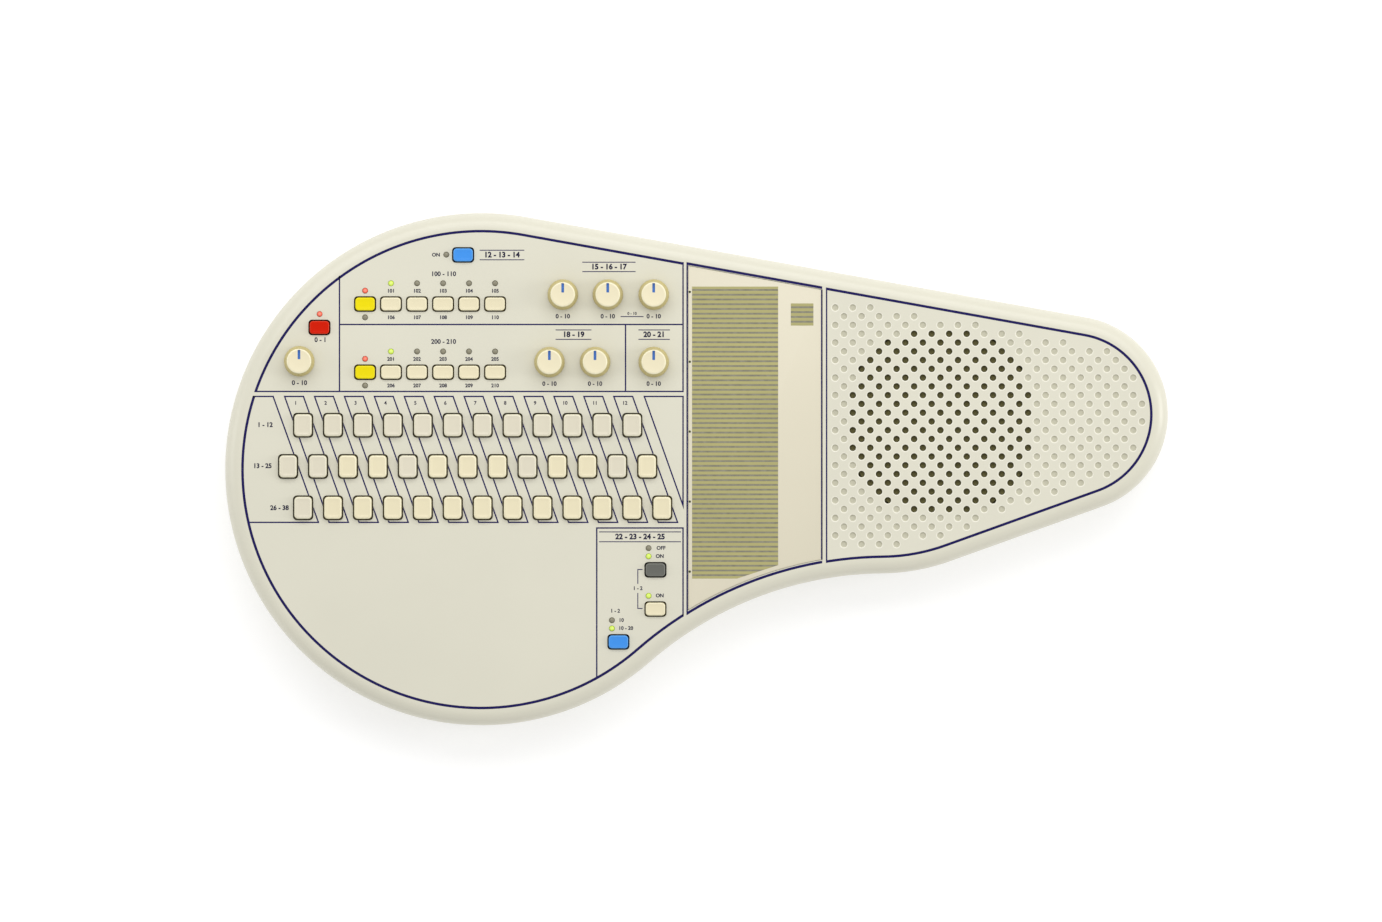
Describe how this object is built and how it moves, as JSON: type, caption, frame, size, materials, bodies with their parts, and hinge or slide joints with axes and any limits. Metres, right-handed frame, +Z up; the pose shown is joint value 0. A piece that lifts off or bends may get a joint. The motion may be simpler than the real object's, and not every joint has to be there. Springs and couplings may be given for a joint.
{
  "type": "electronic autoharp",
  "caption": "Flat harp-shaped electronic instrument: chord push caps, selector buttons and knobs on a round body, a striped touch plate to strum and a loudspeaker in the neck.",
  "frame": {"origin": "middle of the footprint, on the plane that the feet rest on", "axes": "+X along the instrument to the tip of the neck, +Y to the far edge, +Z up out of the control panel"},
  "size_m": [0.6224, 0.3383, 0.061],
  "materials": {
    "case": "satin moulded plastic, warm off-white",
    "back": "fine textured moulded plastic, off-white",
    "plate": "smooth printed film on a stiff plate",
    "cream": "semi-gloss cream plastic",
    "grey": "semi-gloss warm grey-white plastic",
    "yellow": "semi-gloss yellow plastic",
    "red": "semi-gloss red plastic",
    "blue": "semi-gloss blue plastic",
    "dark": "semi-gloss dark grey plastic",
    "knob": "semi-gloss cream plastic with a blue pointer line",
    "cone": "black paper cone and steel basket",
    "board": "brown phenolic circuit board"
  },
  "bodies": {
    "case": {"front_case": "case", "rear_case": "back", "strum_plate": "plate", "main_board": "board", "speaker": "cone"},
    "battery_door": {"battery_door": "back"},
    "knob_master_volume": {"knob_master_volume": "knob"},
    "knob_sustain": {"knob_sustain": "knob"},
    "knob_main_volume": {"knob_main_volume": "knob"},
    "knob_sub_volume": {"knob_sub_volume": "knob"},
    "knob_tempo": {"knob_tempo": "knob"},
    "knob_rhythm_volume": {"knob_rhythm_volume": "knob"},
    "knob_chord_volume": {"knob_chord_volume": "knob"},
    "power_button": {"power_button": "red"},
    "keyboard_button": {"keyboard_button": "blue"},
    "voice_bank_button": {"voice_bank_button": "yellow"},
    "pattern_bank_button": {"pattern_bank_button": "yellow"},
    "auto_button": {"auto_button": "dark"},
    "hold_button": {"hold_button": "cream"},
    "start_button": {"start_button": "blue"},
    "voice_selector": {"voice_selector": "cream"},
    "pattern_selector": {"pattern_selector": "cream"},
    "chord_major_01": {"chord_major_01": "grey"},
    "chord_major_02": {"chord_major_02": "grey"},
    "chord_major_03": {"chord_major_03": "grey"},
    "chord_major_04": {"chord_major_04": "grey"},
    "chord_major_05": {"chord_major_05": "grey"},
    "chord_major_06": {"chord_major_06": "grey"},
    "chord_major_07": {"chord_major_07": "grey"},
    "chord_major_08": {"chord_major_08": "grey"},
    "chord_major_09": {"chord_major_09": "grey"},
    "chord_major_10": {"chord_major_10": "grey"},
    "chord_major_11": {"chord_major_11": "grey"},
    "chord_major_12": {"chord_major_12": "grey"},
    "chord_minor_01": {"chord_minor_01": "grey"},
    "chord_minor_02": {"chord_minor_02": "grey"},
    "chord_minor_03": {"chord_minor_03": "cream"},
    "chord_minor_04": {"chord_minor_04": "cream"},
    "chord_minor_05": {"chord_minor_05": "grey"},
    "chord_minor_06": {"chord_minor_06": "cream"},
    "chord_minor_07": {"chord_minor_07": "cream"},
    "chord_minor_08": {"chord_minor_08": "cream"},
    "chord_minor_09": {"chord_minor_09": "grey"},
    "chord_minor_10": {"chord_minor_10": "cream"},
    "chord_minor_11": {"chord_minor_11": "cream"},
    "chord_minor_12": {"chord_minor_12": "grey"},
    "chord_minor_13": {"chord_minor_13": "cream"},
    "chord_seventh_01": {"chord_seventh_01": "grey"},
    "chord_seventh_02": {"chord_seventh_02": "cream"},
    "chord_seventh_03": {"chord_seventh_03": "cream"},
    "chord_seventh_04": {"chord_seventh_04": "cream"},
    "chord_seventh_05": {"chord_seventh_05": "cream"},
    "chord_seventh_06": {"chord_seventh_06": "cream"},
    "chord_seventh_07": {"chord_seventh_07": "cream"},
    "chord_seventh_08": {"chord_seventh_08": "cream"},
    "chord_seventh_09": {"chord_seventh_09": "cream"},
    "chord_seventh_10": {"chord_seventh_10": "cream"},
    "chord_seventh_11": {"chord_seventh_11": "cream"},
    "chord_seventh_12": {"chord_seventh_12": "cream"},
    "chord_seventh_13": {"chord_seventh_13": "cream"}
  },
  "joints": [
    {"name": "turn_master_volume", "type": "hinge", "parent": "case", "child": "knob_master_volume", "pos_m": [-0.2621, 0.0712, 0.05], "axis": [0, 0, 1], "range_deg": [-150, 150]},
    {"name": "slide_battery_door", "type": "slide", "parent": "case", "child": "battery_door", "axis": [0, -1, 0], "range_m": [0, 0.07]},
    {"name": "turn_sustain", "type": "hinge", "parent": "case", "child": "knob_sustain", "pos_m": [-0.0882, 0.1152, 0.05], "axis": [0, 0, 1], "range_deg": [-150, 150]},
    {"name": "turn_main_volume", "type": "hinge", "parent": "case", "child": "knob_main_volume", "pos_m": [-0.0585, 0.1152, 0.05], "axis": [0, 0, 1], "range_deg": [-150, 150]},
    {"name": "turn_sub_volume", "type": "hinge", "parent": "case", "child": "knob_sub_volume", "pos_m": [-0.0282, 0.1152, 0.05], "axis": [0, 0, 1], "range_deg": [-150, 150]},
    {"name": "turn_tempo", "type": "hinge", "parent": "case", "child": "knob_tempo", "pos_m": [-0.097, 0.0707, 0.05], "axis": [0, 0, 1], "range_deg": [-150, 150]},
    {"name": "turn_rhythm_volume", "type": "hinge", "parent": "case", "child": "knob_rhythm_volume", "pos_m": [-0.0669, 0.0707, 0.05], "axis": [0, 0, 1], "range_deg": [-150, 150]},
    {"name": "turn_chord_volume", "type": "hinge", "parent": "case", "child": "knob_chord_volume", "pos_m": [-0.0282, 0.0707, 0.05], "axis": [0, 0, 1], "range_deg": [-150, 150]},
    {"name": "press_power", "type": "slide", "parent": "case", "child": "power_button", "axis": [0, 0, 1], "range_m": [-0.001, 0], "stiffness_N_per_m": 400, "springref_m": 0.002},
    {"name": "press_keyboard", "type": "slide", "parent": "case", "child": "keyboard_button", "axis": [0, 0, 1], "range_m": [-0.001, 0], "stiffness_N_per_m": 400, "springref_m": 0.002},
    {"name": "press_voice_bank", "type": "slide", "parent": "case", "child": "voice_bank_button", "axis": [0, 0, 1], "range_m": [-0.001, 0], "stiffness_N_per_m": 400, "springref_m": 0.002},
    {"name": "press_pattern_bank", "type": "slide", "parent": "case", "child": "pattern_bank_button", "axis": [0, 0, 1], "range_m": [-0.001, 0], "stiffness_N_per_m": 400, "springref_m": 0.002},
    {"name": "press_auto", "type": "slide", "parent": "case", "child": "auto_button", "axis": [0, 0, 1], "range_m": [-0.001, 0], "stiffness_N_per_m": 400, "springref_m": 0.002},
    {"name": "press_hold", "type": "slide", "parent": "case", "child": "hold_button", "axis": [0, 0, 1], "range_m": [-0.001, 0], "stiffness_N_per_m": 400, "springref_m": 0.002},
    {"name": "press_start", "type": "slide", "parent": "case", "child": "start_button", "axis": [0, 0, 1], "range_m": [-0.001, 0], "stiffness_N_per_m": 400, "springref_m": 0.002},
    {"name": "press_voice_selector", "type": "slide", "parent": "case", "child": "voice_selector", "axis": [0, 0, 1], "range_m": [-0.001, 0], "stiffness_N_per_m": 400, "springref_m": 0.002},
    {"name": "press_pattern_selector", "type": "slide", "parent": "case", "child": "pattern_selector", "axis": [0, 0, 1], "range_m": [-0.001, 0], "stiffness_N_per_m": 400, "springref_m": 0.002},
    {"name": "press_major_01", "type": "slide", "parent": "case", "child": "chord_major_01", "axis": [0, 0, 1], "range_m": [-0.002, 0], "stiffness_N_per_m": 250, "springref_m": 0.002},
    {"name": "press_major_02", "type": "slide", "parent": "case", "child": "chord_major_02", "axis": [0, 0, 1], "range_m": [-0.002, 0], "stiffness_N_per_m": 250, "springref_m": 0.002},
    {"name": "press_major_03", "type": "slide", "parent": "case", "child": "chord_major_03", "axis": [0, 0, 1], "range_m": [-0.002, 0], "stiffness_N_per_m": 250, "springref_m": 0.002},
    {"name": "press_major_04", "type": "slide", "parent": "case", "child": "chord_major_04", "axis": [0, 0, 1], "range_m": [-0.002, 0], "stiffness_N_per_m": 250, "springref_m": 0.002},
    {"name": "press_major_05", "type": "slide", "parent": "case", "child": "chord_major_05", "axis": [0, 0, 1], "range_m": [-0.002, 0], "stiffness_N_per_m": 250, "springref_m": 0.002},
    {"name": "press_major_06", "type": "slide", "parent": "case", "child": "chord_major_06", "axis": [0, 0, 1], "range_m": [-0.002, 0], "stiffness_N_per_m": 250, "springref_m": 0.002},
    {"name": "press_major_07", "type": "slide", "parent": "case", "child": "chord_major_07", "axis": [0, 0, 1], "range_m": [-0.002, 0], "stiffness_N_per_m": 250, "springref_m": 0.002},
    {"name": "press_major_08", "type": "slide", "parent": "case", "child": "chord_major_08", "axis": [0, 0, 1], "range_m": [-0.002, 0], "stiffness_N_per_m": 250, "springref_m": 0.002},
    {"name": "press_major_09", "type": "slide", "parent": "case", "child": "chord_major_09", "axis": [0, 0, 1], "range_m": [-0.002, 0], "stiffness_N_per_m": 250, "springref_m": 0.002},
    {"name": "press_major_10", "type": "slide", "parent": "case", "child": "chord_major_10", "axis": [0, 0, 1], "range_m": [-0.002, 0], "stiffness_N_per_m": 250, "springref_m": 0.002},
    {"name": "press_major_11", "type": "slide", "parent": "case", "child": "chord_major_11", "axis": [0, 0, 1], "range_m": [-0.002, 0], "stiffness_N_per_m": 250, "springref_m": 0.002},
    {"name": "press_major_12", "type": "slide", "parent": "case", "child": "chord_major_12", "axis": [0, 0, 1], "range_m": [-0.002, 0], "stiffness_N_per_m": 250, "springref_m": 0.002},
    {"name": "press_minor_01", "type": "slide", "parent": "case", "child": "chord_minor_01", "axis": [0, 0, 1], "range_m": [-0.002, 0], "stiffness_N_per_m": 250, "springref_m": 0.002},
    {"name": "press_minor_02", "type": "slide", "parent": "case", "child": "chord_minor_02", "axis": [0, 0, 1], "range_m": [-0.002, 0], "stiffness_N_per_m": 250, "springref_m": 0.002},
    {"name": "press_minor_03", "type": "slide", "parent": "case", "child": "chord_minor_03", "axis": [0, 0, 1], "range_m": [-0.002, 0], "stiffness_N_per_m": 250, "springref_m": 0.002},
    {"name": "press_minor_04", "type": "slide", "parent": "case", "child": "chord_minor_04", "axis": [0, 0, 1], "range_m": [-0.002, 0], "stiffness_N_per_m": 250, "springref_m": 0.002},
    {"name": "press_minor_05", "type": "slide", "parent": "case", "child": "chord_minor_05", "axis": [0, 0, 1], "range_m": [-0.002, 0], "stiffness_N_per_m": 250, "springref_m": 0.002},
    {"name": "press_minor_06", "type": "slide", "parent": "case", "child": "chord_minor_06", "axis": [0, 0, 1], "range_m": [-0.002, 0], "stiffness_N_per_m": 250, "springref_m": 0.002},
    {"name": "press_minor_07", "type": "slide", "parent": "case", "child": "chord_minor_07", "axis": [0, 0, 1], "range_m": [-0.002, 0], "stiffness_N_per_m": 250, "springref_m": 0.002},
    {"name": "press_minor_08", "type": "slide", "parent": "case", "child": "chord_minor_08", "axis": [0, 0, 1], "range_m": [-0.002, 0], "stiffness_N_per_m": 250, "springref_m": 0.002},
    {"name": "press_minor_09", "type": "slide", "parent": "case", "child": "chord_minor_09", "axis": [0, 0, 1], "range_m": [-0.002, 0], "stiffness_N_per_m": 250, "springref_m": 0.002},
    {"name": "press_minor_10", "type": "slide", "parent": "case", "child": "chord_minor_10", "axis": [0, 0, 1], "range_m": [-0.002, 0], "stiffness_N_per_m": 250, "springref_m": 0.002},
    {"name": "press_minor_11", "type": "slide", "parent": "case", "child": "chord_minor_11", "axis": [0, 0, 1], "range_m": [-0.002, 0], "stiffness_N_per_m": 250, "springref_m": 0.002},
    {"name": "press_minor_12", "type": "slide", "parent": "case", "child": "chord_minor_12", "axis": [0, 0, 1], "range_m": [-0.002, 0], "stiffness_N_per_m": 250, "springref_m": 0.002},
    {"name": "press_minor_13", "type": "slide", "parent": "case", "child": "chord_minor_13", "axis": [0, 0, 1], "range_m": [-0.002, 0], "stiffness_N_per_m": 250, "springref_m": 0.002},
    {"name": "press_seventh_01", "type": "slide", "parent": "case", "child": "chord_seventh_01", "axis": [0, 0, 1], "range_m": [-0.002, 0], "stiffness_N_per_m": 250, "springref_m": 0.002},
    {"name": "press_seventh_02", "type": "slide", "parent": "case", "child": "chord_seventh_02", "axis": [0, 0, 1], "range_m": [-0.002, 0], "stiffness_N_per_m": 250, "springref_m": 0.002},
    {"name": "press_seventh_03", "type": "slide", "parent": "case", "child": "chord_seventh_03", "axis": [0, 0, 1], "range_m": [-0.002, 0], "stiffness_N_per_m": 250, "springref_m": 0.002},
    {"name": "press_seventh_04", "type": "slide", "parent": "case", "child": "chord_seventh_04", "axis": [0, 0, 1], "range_m": [-0.002, 0], "stiffness_N_per_m": 250, "springref_m": 0.002},
    {"name": "press_seventh_05", "type": "slide", "parent": "case", "child": "chord_seventh_05", "axis": [0, 0, 1], "range_m": [-0.002, 0], "stiffness_N_per_m": 250, "springref_m": 0.002},
    {"name": "press_seventh_06", "type": "slide", "parent": "case", "child": "chord_seventh_06", "axis": [0, 0, 1], "range_m": [-0.002, 0], "stiffness_N_per_m": 250, "springref_m": 0.002},
    {"name": "press_seventh_07", "type": "slide", "parent": "case", "child": "chord_seventh_07", "axis": [0, 0, 1], "range_m": [-0.002, 0], "stiffness_N_per_m": 250, "springref_m": 0.002},
    {"name": "press_seventh_08", "type": "slide", "parent": "case", "child": "chord_seventh_08", "axis": [0, 0, 1], "range_m": [-0.002, 0], "stiffness_N_per_m": 250, "springref_m": 0.002},
    {"name": "press_seventh_09", "type": "slide", "parent": "case", "child": "chord_seventh_09", "axis": [0, 0, 1], "range_m": [-0.002, 0], "stiffness_N_per_m": 250, "springref_m": 0.002},
    {"name": "press_seventh_10", "type": "slide", "parent": "case", "child": "chord_seventh_10", "axis": [0, 0, 1], "range_m": [-0.002, 0], "stiffness_N_per_m": 250, "springref_m": 0.002},
    {"name": "press_seventh_11", "type": "slide", "parent": "case", "child": "chord_seventh_11", "axis": [0, 0, 1], "range_m": [-0.002, 0], "stiffness_N_per_m": 250, "springref_m": 0.002},
    {"name": "press_seventh_12", "type": "slide", "parent": "case", "child": "chord_seventh_12", "axis": [0, 0, 1], "range_m": [-0.002, 0], "stiffness_N_per_m": 250, "springref_m": 0.002},
    {"name": "press_seventh_13", "type": "slide", "parent": "case", "child": "chord_seventh_13", "axis": [0, 0, 1], "range_m": [-0.002, 0], "stiffness_N_per_m": 250, "springref_m": 0.002}
  ]
}
